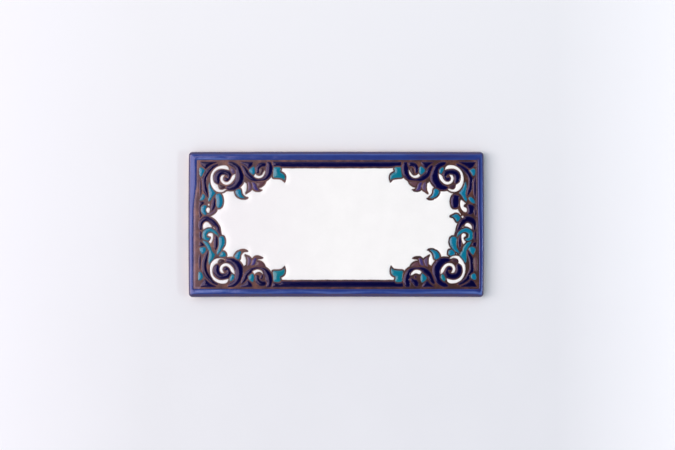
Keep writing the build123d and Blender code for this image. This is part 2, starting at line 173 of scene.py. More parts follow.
# the four corners: mirrored or not, moved sideways (by how far out) and up or down (by how far up), what is
# left out, what lies a little elsewhere, all in drawing units, and what is drawn differently
CORNERS = [
    (False, False, ((0,), (0,)), ((0,), (0,)), ("cres_low", "leaf_j"), {"thorn": (0.0, 0.3), "petal1": (0.0, 0.4), "petal2": (0.0, 0.4), "petal3": (0.0, 0.4)}, {}),
    (False, True, ((204, 212), (0.0, -0.6)), ((162, 168, 176), (0.9, 0.6, 0.1)), ("leaf_k", "leaf_c", "cres"),
     {"ring2": (0.5, 0.5), "trilobe": (0.5, 0.5), "leaf_r": (-0.4, 0.0), "stem": (0.4, 0.0), "ring": (0.0, 0.5), "cres_low": (0.0, 0.4),
      "petal1": (0.0, -1.0), "petal1_tail": (-0.1, 0.0), "petal2": (0.0, -0.9), "petal2_tail": (0.0, 0.0), "petal3": (0.0, -0.4)}, FOOT_LEFT),
    (True, False, ((203, 207, 211, 216, 222), (-0.2, -0.6, -1.1, -1.1, -0.9)), ((0,), (-0.3,)), ("cres_low",),
     {"tri": (1.2, 0.0), "leaf_k": (1.0, 0.0), "thorn": (0.4, 0.3), "thorn_tail": (0.9, 1.3), "trilobe": (1.0, 0.2), "ring2": (0.3, 0.4), "leaf_c": (-0.5, 0.0),
      "ring": (0.0, 0.3), "petal1": (-0.3, 0.8), "petal2": (0.0, 0.8), "petal2_tail": (0.3, 0.3), "petal3": (0.0, 0.3)}, TOP_RIGHT),
    (True, True, ((0,), (0.8,)), ((162, 168, 178), (0.9, 0.8, -0.2)), ("leaf_k", "leaf_c", "cres_low"),
     {"tri": (1.3, 0.0), "tri2": (-0.7, 0.6), "bud": (1.6, 0.0), "thorn": (-0.9, 0.2), "thorn_tail": (-0.2, -0.3), "ring": (0.4, 0.0), "ring2": (0.4, 0.5),
      "trilobe": (0.0, 0.5), "leaf_r": (0.0, 0.4), "petal1": (-0.3, 0.0), "petal1_tail": (-0.5, 0.5), "petal2": (0.0, -0.4), "petal2_tail": (0.0, 0.0), "petal3": (0.0, 0.3)}, FOOT_RIGHT),
]
# how far, in mm, the melted glaze of a cell spreads past its outline where nothing stops it
SPREAD = {"n": 0.8, "t": 0.45, "w": 0.0, "v": 0.35, "p": 0.4}
SPREAD_OF = {"stem": 0.6, "ring": 1.1, "strip": 0.15, "tri": 0.7, "tri2": 0.6, "seed1": 0.3, "seed2": 0.5, "bit1": 0.3, "bit2": 0.3,
             "small2": 0.35, "crescent": 0.4, "kidney": 0.3, "slim": 0.6, "eye2": 0.6}
# the frame line: drawing positions of its edge on the cells' side and on the border's side
LINE_LEFT_IN = ((160, 195, 212, 240, 290), (199.0, 198.9, 198.4, 198.0, 197.9))
LINE_LEFT_OUT = ((160, 185, 195, 203, 212, 290), (196.8, 196.6, 195.0, 194.0, 193.5, 193.4))
LINE_RIGHT_IN = ((160, 290), (476.5, 477.5))
LINE_RIGHT_OUT = ((160, 185, 205, 222, 240, 290), (477.7, 477.7, 477.8, 478.4, 479.0, 479.3))
LINE_TOP_IN, LINE_TOP_OUT = 161.5, 160.0
LINE_FOOT_IN, LINE_FOOT_OUT = 287.4, 288.9

# heights, in mm above the wall face
LINE_Z = 7.40        # floor of the bare lines
DOME = 0.55          # how far a wide cell of glaze stands above it
CREST_Z = 7.985      # top of the bead round the edge
LINE_OUT = 0.95      # bare line left between a cell and the white field
LINE_MIN = 0.50      # least bare line between two cells

GRID = 0.1
GX0, GX1 = -94.6, 96.4
GY0, GY1 = -43.4, 43.2
NX = int(round((GX1 - GX0) / GRID)) + 1
NY = int(round((GY1 - GY0) / GRID)) + 1


# ---------------------------------------------------------------------------
# outlines
# ---------------------------------------------------------------------------
def curve_through(pts, closed, step=0.22):
    """A smooth (centripetal) curve through points of any dimension; the first two are x and y."""
    P = [np.array(p, float) for p in pts]
    n = len(P)
    out = []
    for i in range(n if closed else n - 1):
        if closed:
            p0, p1, p2, p3 = P[(i - 1) % n], P[i], P[(i + 1) % n], P[(i + 2) % n]
        else:
            p1, p2 = P[i], P[i + 1]
            p0 = P[i - 1] if i > 0 else 2 * p1 - p2
            p3 = P[i + 2] if i + 2 < n else 2 * p2 - p1
        d = [max(float(np.hypot(*(b - a)[:2])), 1e-6) ** 0.5 for a, b in ((p0, p1), (p1, p2), (p2, p3))]
        t0, t1 = 0.0, d[0]
        t2 = t1 + d[1]
        t3 = t2 + d[2]
        k = max(2, int(np.hypot(*(p2 - p1)[:2]) / step))
        for t in t1 + (t2 - t1) * np.arange(k) / k:
            a1 = ((t1 - t) * p0 + (t - t0) * p1) / (t1 - t0)
            a2 = ((t2 - t) * p1 + (t - t1) * p2) / (t2 - t1)
            a3 = ((t3 - t) * p2 + (t - t2) * p3) / (t3 - t2)
            b1 = ((t2 - t) * a1 + (t - t0) * a2) / (t2 - t0)
            b2 = ((t3 - t) * a2 + (t - t1) * a3) / (t3 - t1)
            out.append(((t2 - t) * b1 + (t - t1) * b2) / (t2 - t1))
    if not closed:
        out.append(P[-1])
    return np.array(out)


def outline_of(pts):
    """A closed outline with its marked corners kept sharp."""
    corners = [i for i, p in enumerate(pts) if len(p) > 2 and p[2]]
    q = [p[:2] for p in pts]
    if not corners:
        return curve_through(q, True)
    runs = []
    for a, b in zip(corners, corners[1:] + [corners[0] + len(q)]):
        runs.append(curve_through([q[i % len(q)] for i in range(a, b + 1)], False)[:-1])
    return np.concatenate(runs)


def window(lo, hi, margin):
    j0 = max(0, int((lo[0] - margin - GX0) / GRID))
    j1 = min(NX, int((hi[0] + margin - GX0) / GRID) + 2)
    i0 = max(0, int((lo[1] - margin - GY0) / GRID))
    i1 = min(NY, int((hi[1] + margin - GY0) / GRID) + 2)
    x = GX0 + GRID * np.arange(j0, j1)
    y = GY0 + GRID * np.arange(i0, i1)
    return (slice(i0, i1), slice(j0, j1)), *np.meshgrid(x, y)


def depth_in_outline(poly, x, y):
    """Signed distance, positive inside."""
    best = np.full(x.shape, 1e9)
    inside = np.zeros(x.shape, bool)
    for (ax, ay), (bx, by) in zip(poly, np.roll(poly, -1, 0)):
        ex, ey = bx - ax, by - ay
        t = np.clip(((x - ax) * ex + (y - ay) * ey) / max(ex * ex + ey * ey, 1e-12), 0, 1)
        best = np.minimum(best, (x - ax - t * ex) ** 2 + (y - ay - t * ey) ** 2)
        if ay != by:
            hit = (ay > y) != (by > y)
            inside ^= hit & (x < (bx - ax) * (y - ay) / (by - ay) + ax)
    best = np.sqrt(best)
    return np.where(inside, best, -best)


def depth_in_stroke(line, x, y):
    best = np.full(x.shape, -1e9)
    for (ax, ay, aw), (bx, by, bw) in zip(line[:-1], line[1:]):
        ex, ey = bx - ax, by - ay
        t = np.clip(((x - ax) * ex + (y - ay) * ey) / max(ex * ex + ey * ey, 1e-12), 0, 1)
        best = np.maximum(best, aw + t * (bw - aw) - np.hypot(x - ax - t * ex, y - ay - t * ey))
    return best


cells = []   # (colour, outline or stroke, half widths of a stroke, spread)
names = []
masses = []


def placed(xy, flip_x, flip_y, shift, rise, nudge=(0.0, 0.0)):
    out = xy.copy()
    out[:, 0] += np.interp(xy[:, 0], *shift) if not flip_x else 0
    if flip_x:
        out[:, 0] = FLIP_X - xy[:, 0] + np.interp(xy[:, 0], *shift)
    if flip_y:
        out[:, 1] = FLIP_Y - xy[:, 1]
    out[:, 1] += np.interp(xy[:, 1], *rise)
    return to_mm(out + nudge)


STILL = ((0,), (0,))


def add_cell(name, colour, kind, pts, flip_x=False, flip_y=False, shift=STILL, rise=STILL, nudge=(0.0, 0.0)):
    q = outline_of(pts) if kind == "P" else curve_through(pts, False)
    cells.append((colour, placed(q[:, :2], flip_x, flip_y, shift, rise, nudge), None if kind == "P" else q[:, 2] * UNIT, SPREAD_OF.get(name, SPREAD[colour])))
    names.append(name)


def add_mass(pts, flip_x=False, flip_y=False, shift=STILL, rise=STILL, nudge=(0.0, 0.0)):
    masses.append(placed(curve_through(pts, True, 0.6), flip_x, flip_y, shift, rise, nudge))


for fx, fy, shift, rise, skip, nudges, redrawn in CORNERS:
    for pts in MASS:
        add_mass(pts, fx, fy, shift, rise)
    for name, pts in TAILS.items():
        add_mass(redrawn.get(name + "_tail", pts), fx, fy, shift, rise, nudges.get(name + "_tail", nudges.get(name, (0.0, 0.0))))
    for name, colour, kind, pts in CORNER:
        if name not in skip:
            add_cell(name, *redrawn.get(name, (colour, kind, pts)), fx, fy, shift, rise, nudges.get(name, (0.0, 0.0)))
for pts in MASS_LEFT:
    add_mass(pts)
for pts in MASS_RIGHT:
    add_mass(pts, True)
for name, colour, kind, pts in LEFT:
    add_cell(name, colour, kind, pts)
for name, colour, kind, pts in RIGHT:
    add_cell(name, colour, kind, pts, True)
# navy bands along the top and the foot, between the three-lobed leaves
for fy, dx0, dx1, rise, edge_in, edge_out in ((False, 0.0, -0.9, -0.15, 167.0, 161.9), (True, -0.6, 0.8, 0.65, 167.25, 162.4)):
    add_cell("band", "n", "P", [(273.4 + dx0, edge_out, 1), (337, edge_out - 0.1), (401.6 + dx1, edge_out, 1), (400.8 + dx1, 165.3), (394.8 + dx1, 165.7), (393.0 + dx1, edge_in, 1),
                                (337, edge_in + 0.1), (282.0 + dx0, edge_in, 1), (280.2 + dx0, 165.7), (274.2 + dx0, 165.3)], False, fy, rise=((0,), (rise,)))


# ---------------------------------------------------------------------------
# the drawing as a depth field: positive in glaze, negative in the bare lines
# ---------------------------------------------------------------------------
gx, gy = np.meshgrid(GX0 + GRID * np.arange(NX), GY0 + GRID * np.arange(NY))


def rounded_box_depth(x, y, x0, x1, y0, y1, r):
    dx = np.maximum(x0 + r - x, x - (x1 - r))
    dy = np.maximum(y0 + r - y, y - (y1 - r))
    out = np.hypot(np.maximum(dx, 0), np.maximum(dy, 0))
    return r - out - np.minimum(np.maximum(dx, dy), 0)


def across(edge, y):
    """The x, in mm, of an upright edge given by drawing positions, at heights y in mm."""
    return (np.interp(MID_Y - y / UNIT, *edge) - MID_X) * UNIT


def line_inside(x, y):
    """How far in from the frame line, on the cells' side."""
    return rounded_box_depth(x, y, across(LINE_LEFT_IN, y), across(LINE_RIGHT_IN, y), (MID_Y - LINE_FOOT_IN) * UNIT, (MID_Y - LINE_TOP_IN) * UNIT, 0.4)


# the line was drawn by hand, so its edge wanders a little
wander = 0.05 * np.sin(gx * 0.41 + 1.1) * np.sin(gy * 0.37 + 0.4) + 0.035 * np.sin(gx * 1.07 - gy * 0.83 + 2.0)
room = line_inside(gx, gy) + wander
field = room.copy()
glaze = np.full(room.shape, -9.0)
label = np.full(room.shape, -1, np.int16)
near, near2 = np.full(room.shape, -9.0), np.full(room.shape, -9.0)      # two deepest outlines at each place
near_id = np.full(room.shape, -1, np.int16)
flow, flow2 = np.full(room.shape, -9.0), np.full(room.shape, -9.0)      # the same once spread
flow_id = np.full(room.shape, -1, np.int16)
for poly in masses:
    w, x, y = window(poly.min(0), poly.max(0), 2.4)
    field[w] = np.minimum(field[w], -depth_in_outline(poly, x, y) - 0.1)
for n, (colour, xy, half, spread) in enumerate(cells):
    pad = 0.0 if half is None else float(half.max())
    w, x, y = window(xy.min(0) - pad, xy.max(0) + pad, 3.2)
    s = depth_in_outline(xy, x, y) if half is None else depth_in_stroke(np.column_stack([xy, half]), x, y)
    s = np.minimum(s + 0.6 * wander[w], room[w] - 0.02)
    field[w] = np.minimum(field[w], -s - LINE_OUT - 0.5 * wander[w])
    # as drawn, a later cell lies over an earlier one
    old = glaze[w]
    old[:] = np.minimum(old, -s - LINE_MIN)
    take = s > old
    label[w][take & (s > -LINE_MIN / 2)] = n
    old[take] = s[take]
    for top, second, who, v in ((near, near2, near_id, s), (flow, flow2, flow_id, s + spread)):
        t1, t2, k = top[w], second[w], who[w]
        over = v > t1
        t2[:] = np.where(over, t1, np.maximum(t2, v))
        k[over] = n
        t1[over] = v[over]
# distance from the white field, stepped out over the grid
off_field = np.where(field > 0, 0.0, 9.0)
for _ in range(14):
    wide = np.pad(off_field, 1, constant_values=9.0)
    off_field = np.minimum.reduce([off_field] + [wide[1 + a:NY + 1 + a, 1 + b:NX + 1 + b] + GRID * math.hypot(a, b)
                                                 for a in (-1, 0, 1) for b in (-1, 0, 1) if a or b])
other = np.where(near_id == flow_id, near2, near)
spread_depth = np.minimum.reduce([flow, -other - LINE_MIN, (flow - flow2 - LINE_MIN) / 2, off_field - LINE_OUT, room - 0.02])
label = np.where((spread_depth > glaze) & (spread_depth > -LINE_MIN / 2), flow_id, label)
glaze = np.maximum(glaze, spread_depth)
WHITE_FIELD = len(cells)
depth = np.maximum(field, glaze)
label[(field > glaze) & (field > 0)] = WHITE_FIELD
depth = np.clip(depth, -3, 3)
depth[0, :] = depth[-1, :] = depth[:, 0] = depth[:, -1] = -1.0


def dome_field(d, reach, stiff):
    """Height of the molten glaze, 0 at the bare line and 1 far inside a cell: a screened membrane."""
    chi = np.clip(d / 0.1 + 0.5, 0, 1)
    c = 1 / reach ** 2 + stiff * (1 - chi)
    rhs = chi / reach ** 2

    def apply(u):
        lap = np.zeros_like(u)
        lap[1:-1, 1:-1] = (u[2:, 1:-1] + u[:-2, 1:-1] + u[1:-1, 2:] + u[1:-1, :-2] - 4 * u[1:-1, 1:-1]) / GRID ** 2
        return c * u - lap

    diag = c + 4 / GRID ** 2
    u = np.clip(1 - np.exp(-np.maximum(d, 0) / reach), 0, 1)
    r = rhs - apply(u)
    z = r / diag
    p = z.copy()
    rz = float((r * z).sum())
    for _ in range(140):
        ap = apply(p)
        a = rz / float((p * ap).sum())
        u += a * p
        r -= a * ap
        z = r / diag
        new = float((r * z).sum())
        if new < 1e-4:
            break
        p = z + (new / rz) * p
        rz = new
    return np.clip(u, 0, 1)


# a rounded-off distance from the nearest bare line, and the height of glaze it gives
SOFT = 0.45
dome = dome_field(depth, SOFT, 2500.0)
inward = -SOFT * np.log(np.maximum(1 - dome, 2e-3))


def glaze_rise(t):
    return 1 - np.exp(-t / 1.1)


def sample(f, x, y):
    j = np.clip((x - GX0) / GRID, 0, NX - 1.001)
    i = np.clip((y - GY0) / GRID, 0, NY - 1.001)
    j0, i0 = j.astype(int), i.astype(int)
    a, b = j - j0, i - i0
    return (f[i0, j0] * (1 - a) + f[i0, j0 + 1] * a) * (1 - b) + (f[i0 + 1, j0] * (1 - a) + f[i0 + 1, j0 + 1] * a) * b


# ---------------------------------------------------------------------------
# contours of the depth field
# ---------------------------------------------------------------------------
SEGMENTS = {1: [(0, 3)], 2: [(1, 0)], 3: [(1, 3)], 4: [(2, 1)], 6: [(2, 0)], 7: [(2, 3)], 8: [(3, 2)], 9: [(0, 2)],
            11: [(1, 2)], 12: [(3, 1)], 13: [(0, 1)], 14: [(3, 0)]}
APART = {5: [(0, 3), (2, 1)], 10: [(1, 0), (3, 2)]}
JOINED = {5: [(0, 1), (2, 3)], 10: [(3, 0), (1, 2)]}


def contours(f, level):
    """Closed loops where f crosses level, with the higher side on the left, in mm."""
    g = f - level
    g[g == 0] = 1e-9
    up = g > 0
    case = up[:-1, :-1] * 1 + up[:-1, 1:] * 2 + up[1:, 1:] * 4 + up[1:, :-1] * 8
    flat = NX * NY

    def edge_ids(i, j, e):
        return {0: i * NX + j, 1: flat + i * NX + j + 1, 2: (i + 1) * NX + j, 3: flat + i * NX + j}[e]

    follow = {}
    for c in range(1, 15):
        i, j = np.nonzero(case == c)
        if not len(i):
            continue
        if c in SEGMENTS:
            groups = [(i, j, SEGMENTS[c])]
        else:
            mid = (g[i, j] + g[i + 1, j] + g[i, j + 1] + g[i + 1, j + 1]) > 0
            groups = [(i[mid], j[mid], JOINED[c]), (i[~mid], j[~mid], APART[c])]
        for gi, gj, pairs in groups:
            for a, b in pairs:
                follow.update(zip(edge_ids(gi, gj, a).tolist(), edge_ids(gi, gj, b).tolist()))
    loops = []
    while follow:
        start, nxt = follow.popitem()
        ids = [start]
        while nxt != start:
            ids.append(nxt)
            nxt = follow.pop(nxt)
        ids = np.array(ids)
        vert = ids >= flat
        k = np.where(vert, ids - flat, ids)
        i, j = k // NX, k % NX
        i2, j2 = np.where(vert, i + 1, i), np.where(vert, j, j + 1)
        a = g[i, j]
        b = g[i2, j2]
        t = a / (a - b)
        loops.append(np.stack([GX0 + GRID * (j + t * (j2 - j)), GY0 + GRID * (i + t * (i2 - i))], 1))
    # an order that is the same each run
    loops.sort(key=lambda q: (round(float(q[:, 0].min()), 4), round(float(q[:, 1].min()), 4), len(q)))
    return loops


def even(loop, step, soften=2):
    """The loop smoothed a little and cut into even steps."""
    q = loop
    for _ in range(soften):
        q = 0.25 * np.roll(q, 1, 0) + 0.5 * q + 0.25 * np.roll(q, -1, 0)
    first = int(np.lexsort((q[:, 1], q[:, 0]))[0])
    q = np.roll(q, -first, 0)
    c = np.vstack([q, q[:1]])
    s = np.concatenate([[0], np.cumsum(np.hypot(*np.diff(c, axis=0).T))])
    n = max(5, int(round(s[-1] / step)))
    t = np.arange(n) * s[-1] / n
    return np.stack([np.interp(t, s, c[:, 0]), np.interp(t, s, c[:, 1])], 1), s[-1]


pts, rims = [], []       # CDT input
kinds = []               # how each input point gets its height


def put_loop(q, kind):
    b = sum(len(p) for p in pts)
    n = len(q)
    pts.append(q)
    kinds.append(np.full(n, kind))
    rims.extend((b + i, b + (i + 1) % n) for i in range(n))


EDGE, GLAZE, LINE, BEAD, RIM = 0, 1, 2, 3, 4
for level, step, kind, least in ((0.0, 0.30, EDGE, 1.2), (0.13, 0.33, GLAZE, 1.0), (0.30, 0.36, GLAZE, 1.0), (0.55, 0.42, GLAZE, 1.0),
                                 (0.90, 0.55, GLAZE, 1.2), (1.40, 0.85, GLAZE, 2.0), (2.1, 1.5, GLAZE, 4.0), (-0.22, 0.42, LINE, 1.0)):
    for loop in contours(depth.copy(), level):
        q, length = even(loop, step)
        if length >= least:
            put_loop(q, kind)

# a lattice over the wide white field
fx_, fy_ = np.meshgrid(np.arange(-92, 95, 2.2), np.arange(-42, 43, 2.2))
fx_ = fx_ + 1.1 * (np.arange(fx_.shape[0]) % 2)[:, None]
q = np.stack([fx_.ravel(), fy_.ravel()], 1)
q = q[sample(depth, q[:, 0], q[:, 1]) > 2.7]
pts.append(q)
kinds.append(np.full(len(q), GLAZE))

# ---------------------------------------------------------------------------
# the outer edge of the tile
# ---------------------------------------------------------------------------
HALF_X, Y_LOW, Y_HIGH, CORNER_R = 100.0, -49.4, 49.2, 2.6
END_BOW, TOP_BOW, FOOT_BOW = 0.35, 0.20, -0.20
Y_MID, HALF_Y = (Y_LOW + Y_HIGH) / 2, (Y_HIGH - Y_LOW) / 2


def end_x(y):
    return HALF_X + END_BOW * (1 - ((y - Y_MID) / HALF_Y) ** 2)


def top_y(x):
    return Y_HIGH + TOP_BOW * (1 - (x / HALF_X) ** 2)


def foot_y(x):
    return Y_LOW - FOOT_BOW * (1 - (x / HALF_X) ** 2)


def edge_loop():
    """Points on the outer edge, counter-clockwise from the foot's left, and the outward direction at each."""
    P, N = [], []
    cx, cy = end_x(Y_LOW + CORNER_R) - CORNER_R, foot_y(HALF_X - CORNER_R) + CORNER_R
    tx, ty = end_x(Y_HIGH - CORNER_R) - CORNER_R, top_y(HALF_X - CORNER_R) - CORNER_R
    turn = [math.radians(90 * k / 12) for k in range(1, 12)]
    xs = np.linspace(-cx, cx, 200)
    for x in xs:
        P.append((x, foot_y(x))); N.append((0, -1))
    for a in turn:
        n = (math.sin(a), -math.cos(a)); P.append((cx + CORNER_R * n[0], cy + CORNER_R * n[1])); N.append(n)
    for y in np.linspace(cy, ty, 96):
        P.append((end_x(y), y)); N.append((1, 0))
    for a in turn:
        n = (math.cos(a), math.sin(a)); P.append((tx + CORNER_R * n[0], ty + CORNER_R * n[1])); N.append(n)
    for x in np.linspace(tx, -tx, 200):
        P.append((x, top_y(x))); N.append((0, 1))
    for a in turn:
        n = (-math.sin(a), math.cos(a)); P.append((-tx + CORNER_R * n[0], ty + CORNER_R * n[1])); N.append(n)
    for y in np.linspace(ty, cy, 96):
        P.append((-end_x(y), y)); N.append((-1, 0))
    for a in turn:
        n = (-math.cos(a), -math.sin(a)); P.append((-cx + CORNER_R * n[0], cy + CORNER_R * n[1])); N.append(n)
    return np.array(P), np.array(N, float)


edge_p, edge_n = edge_loop()
# arc length along the edge, for what wanders along it
edge_s = np.concatenate([[0], np.cumsum(np.hypot(*np.diff(edge_p, axis=0).T))])


def inset_of(x, y):
    """How far a point is in from the outer edge."""
    d = np.minimum(end_x(y) - np.abs(x), np.minimum(top_y(x) - y, y - foot_y(x)))
    ax, ay = np.abs(x), np.where(y > 0, y - Y_MID, Y_MID - y)
    cx, cy = HALF_X - CORNER_R + 0.03, HALF_Y - CORNER_R
    corner = (ax > cx) & (ay > cy)
    return np.where(corner, np.minimum(d, CORNER_R - np.hypot(ax - cx, ay - cy)), d)


ARRIS_R, ARRIS_FROM = 1.9, math.radians(13.7)
ARRIS_IN = 0.03 + ARRIS_R - ARRIS_R * math.sin(ARRIS_FROM)     # inset where the bead turns into the arris


def rim_z(x, y):
    """Height of the bead's outer rim: it falls away most up the left end."""
    return CREST_Z - 0.33 - 0.15 * np.clip((-96.0 - x) / 2.0, 0, 1) * np.interp(y, (-45, -10, 12, 45), (0.15, 0.25, 1.0, 0.9))


def crest_in(x, y):
    """How far in from the edge the bead is highest: it wanders, and lies furthest in up the left end."""
    left = np.interp(y, (-45, -8, 10, 30, 45), (3.1, 3.2, 4.6, 5.2, 4.4))
    rest = 3.7 + 0.3 * np.sin(0.05 * x + 0.08 * y)
    return np.where(x < -92, left, rest)


def bead_z(inset, x, y):
    crest = crest_in(x, y)
    drop = (crest - inset) / (crest - ARRIS_IN)
    bend = np.interp(crest, (3.8, 4.8), (2.0, 1.05))
    return np.where(drop > 0, CREST_Z - (CREST_Z - rim_z(x, y)) * np.clip(drop, 0, 1) ** bend, CREST_Z - 0.015 * np.clip(inset - crest, 0, 3) ** 2)


def bead_depth(x, y):
    """How far a point of the bead is out from the frame line."""
    return -rounded_box_depth(x, y, across(LINE_LEFT_OUT, y), across(LINE_RIGHT_OUT, y), (MID_Y - LINE_FOOT_OUT) * UNIT, (MID_Y - LINE_TOP_OUT) * UNIT, 0.6)


def bead_loop(grow, step):
    """A loop round the frame line, that far out from it."""
    low, high = (MID_Y - LINE_FOOT_OUT) * UNIT - grow, (MID_Y - LINE_TOP_OUT) * UNIT + grow
    r = 0.6 + grow
    rows = np.linspace(low + r, high - r, int((high - low) / step))
    right = np.stack([across(LINE_RIGHT_OUT, rows) + grow, rows], 1)
    left = np.stack([across(LINE_LEFT_OUT, rows) - grow, rows], 1)[::-1]

    def turn(cx, cy, a0):
        a = np.radians(a0 + 90 * np.arange(1, 8) / 8)
        return np.stack([cx + r * np.cos(a), cy + r * np.sin(a)], 1)

    def run(xa, xb, y):
        n = int(abs(xb - xa) / step)
        return np.stack([np.linspace(xa, xb, n + 2)[1:-1], np.full(n, y)], 1)

    return np.concatenate([right, turn(right[-1, 0] - r, high - r, 0), run(right[-1, 0] - r, left[0, 0] + r, high), turn(left[0, 0] + r, high - r, 90),
                           left, turn(left[-1, 0] + r, low + r, 180), run(left[-1, 0] + r, right[0, 0] - r, low), turn(right[0, 0] - r, low + r, 270)])


for grow, step in ((0.0, 0.5), (0.10, 0.5), (0.24, 0.5), (0.45, 0.55), (0.75, 0.6), (1.15, 0.8)):
    q = bead_loop(grow, step)
    q = q + 0.05 * np.stack([np.sin(q[:, 1] * 0.5 + 0.3), np.sin(q[:, 0] * 0.43 + 1.7)], 1)
    put_loop(q, EDGE if grow == 0 else BEAD)
for inset in (2.6, 2.05):
    q = edge_p - edge_n * inset
    keep = (bead_depth(q[:, 0], q[:, 1]) > 1.35) & (np.hypot(*(q - np.roll(q, 1, axis=0)).T) > 0.02)
    pts.append(q[keep])
    kinds.append(np.full(int(keep.sum()), BEAD))
q = edge_p - edge_n * 3.4
keep = bead_depth(q[:, 0], q[:, 1]) > 1.6
pts.append(q[keep])
kinds.append(np.full(int(keep.sum()), BEAD))
# points along the frame line
rows = np.arange((MID_Y - LINE_FOOT_IN) * UNIT + 0.4, (MID_Y - LINE_TOP_IN) * UNIT - 0.4, 0.55)
for left, right, shares in ((LINE_LEFT_OUT, LINE_LEFT_IN, (0.1, 0.2, 0.31, 0.44, 0.6, 0.8)), (LINE_RIGHT_IN, LINE_RIGHT_OUT, (0.5,))):
    a, b = across(left, rows), across(right, rows)
    for share in shares:
        q = np.stack([a + (b - a) * share, rows], 1)
        pts.append(q)
        kinds.append(np.full(len(q), LINE))
cols = np.arange(-92.0, 94.0, 0.55)
for y0, y1 in ((LINE_TOP_IN, LINE_TOP_OUT), (LINE_FOOT_IN, LINE_FOOT_OUT)):
    q = np.stack([cols, np.full(len(cols), (MID_Y - (y0 + y1) / 2) * UNIT)], 1)
    pts.append(q)
    kinds.append(np.full(len(q), LINE))
rim_first = sum(len(p) for p in pts)
put_loop(edge_p - edge_n * ARRIS_IN, RIM)

pts = np.concatenate(pts)
kinds = np.concatenate(kinds)
made = geometry.delaunay_2d_cdt([Vector(p) for p in pts.tolist()], rims, [], 1, 1e-5)
top_xy = np.array([v[:] for v in made[0]])
tris = np.array([f for f in made[2] if len(f) == 3])
kind_of = np.array([kinds[o[0]] if o else GLAZE for o in made[3]])
new_of = {}
for new, olds in enumerate(made[3]):
    for o in olds:
        new_of[o] = new
rim_ids = [new_of[rim_first + k] for k in range(len(edge_p))]

mid = top_xy[tris].mean(1)
# every triangle faces up
a, b, c = top_xy[tris[:, 0]], top_xy[tris[:, 1]], top_xy[tris[:, 2]]
turn = (b[:, 0] - a[:, 0]) * (c[:, 1] - a[:, 1]) - (b[:, 1] - a[:, 1]) * (c[:, 0] - a[:, 0])
tris[turn < 0] = tris[turn < 0][:, ::-1]
tris, mid = tris[np.abs(turn) > 1e-9], mid[np.abs(turn) > 1e-9]

# ---------------------------------------------------------------------------
# heights
# ---------------------------------------------------------------------------
rng = np.random.default_rng(7)
cell_rise = np.concatenate([rng.uniform(0.86, 1.1, len(cells)), [1.0]])
cell_tone = np.concatenate([rng.uniform(0.0, 1.0, len(cells)), [0.5]])
TONE = {"bud": 0.0, "eye2": 0.0, "hook": 1.0, "petal3": 1.0, "petal2": 0.1, "petal1": 0.85, "kidney": 0.8, "crescent": 0.85, "trilobe": 0.25, "thorn": 0.75,
        "curl": 0.5, "long_leaf": 0.65, "s_stem": 0.4, "leaf_m": 0.6, "small1": 0.7, "small3": 0.5, "flame": 0.8, "leaf_k": 0.7, "leaf_c": 0.8, "leaf_r": 0.6}
for n, name in enumerate(names):
    cell_tone[n] = TONE.get(name, cell_tone[n])


def sway(x, y):
    """The slow unevenness of a fired surface, in mm."""
    return (0.40 * np.sin(0.093 * x + 0.061 * y + 1.0) + 0.33 * np.sin(-0.071 * x + 0.127 * y + 2.3)
            + 0.22 * np.sin(0.21 * x - 0.17 * y + 0.4) + 0.16 * np.sin(0.33 * x + 0.29 * y + 4.1))


x, y = top_xy[:, 0], top_xy[:, 1]
in_frame = bead_depth(x, y) < -0.01
d = sample(depth, x, y)
u = glaze_rise(sample(inward, x, y))
j = np.clip(np.rint((x - GX0) / GRID).astype(int), 0, NX - 1)
i = np.clip(np.rint((y - GY0) / GRID).astype(int), 0, NY - 1)
lab = label[i, j]
rise = np.where(lab >= 0, cell_rise[np.clip(lab, 0, len(cells))], 1.0)
rise = np.where(lab == WHITE_FIELD, 1.0 + 0.03 * sway(x, y), rise * np.interp(x, (0, 60), (1.0, 0.78)))
z = np.full(len(x), LINE_Z)
wet = in_frame & (kind_of == GLAZE) & (d > 0.02)
z[wet] += np.minimum(DOME * rise[wet] * u[wet], 0.58)
dry = in_frame & ~wet
z[dry] += 0.012 * np.sin(3.1 * x[dry] + 1.3) * np.sin(2.7 * y[dry])
a_in, a_out = np.maximum(-line_inside(x, y), 0), np.maximum(-bead_depth(x, y), 0)
share = a_in / np.maximum(a_in + a_out, 1e-6)
z[dry] += np.where(a_in > 0.02, 0.30 * (a_in + a_out).clip(0, 2.0) / 2 * 4 * share * (1 - share), 0.0)[dry]
bead = ~in_frame
t = np.maximum(bead_depth(x, y), 0)
foot = np.interp(x, (-96, -91, 91, 96), (0.42, 0.22, 0.22, 0.14))[bead]
z[bead] = LINE_Z + (bead_z(inset_of(x, y), x, y)[bead] - LINE_Z) * (0.25 * glaze_rise(2.0 * t[bead]) + 0.75 * (1 - np.exp(-t[bead] / foot)))
wave = 0.035 * np.sin(0.24 * x + 0.5) * np.sin(0.19 * y + 1.2) + 0.03 * np.sin(0.41 * x - 0.33 * y)
z[bead] = np.minimum(z[bead] + ((0.012 * sway(x, y) + wave) * np.clip(t / 1.2, 0, 1) * np.clip((inset_of(x, y) - ARRIS_IN) / 1.5, 0, 1))[bead] - 0.01, CREST_Z)
on_rim = np.zeros(len(x), bool)
on_rim[rim_ids] = True
z[on_rim] = rim_z(x, y)[on_rim]


def hump(v, at, wide):
    return np.exp(-((v - at) / wide) ** 2)


def reach(v, lo, hi, soft):
    """1 between lo and hi, falling off over soft."""
    return np.clip((v - lo) / soft + 0.5, 0, 1) * np.clip((hi - v) / soft + 0.5, 0, 1)


def sides(x, y):
    """How far in from the top, the foot and the right and left ends, and how much each of them counts."""
    d = np.stack([top_y(x) - y, y - foot_y(x), end_x(y) - x, end_x(y) + x])
    w = np.exp(-(d - d.min(0)) / 0.7)
    return d, w / w.sum(0)


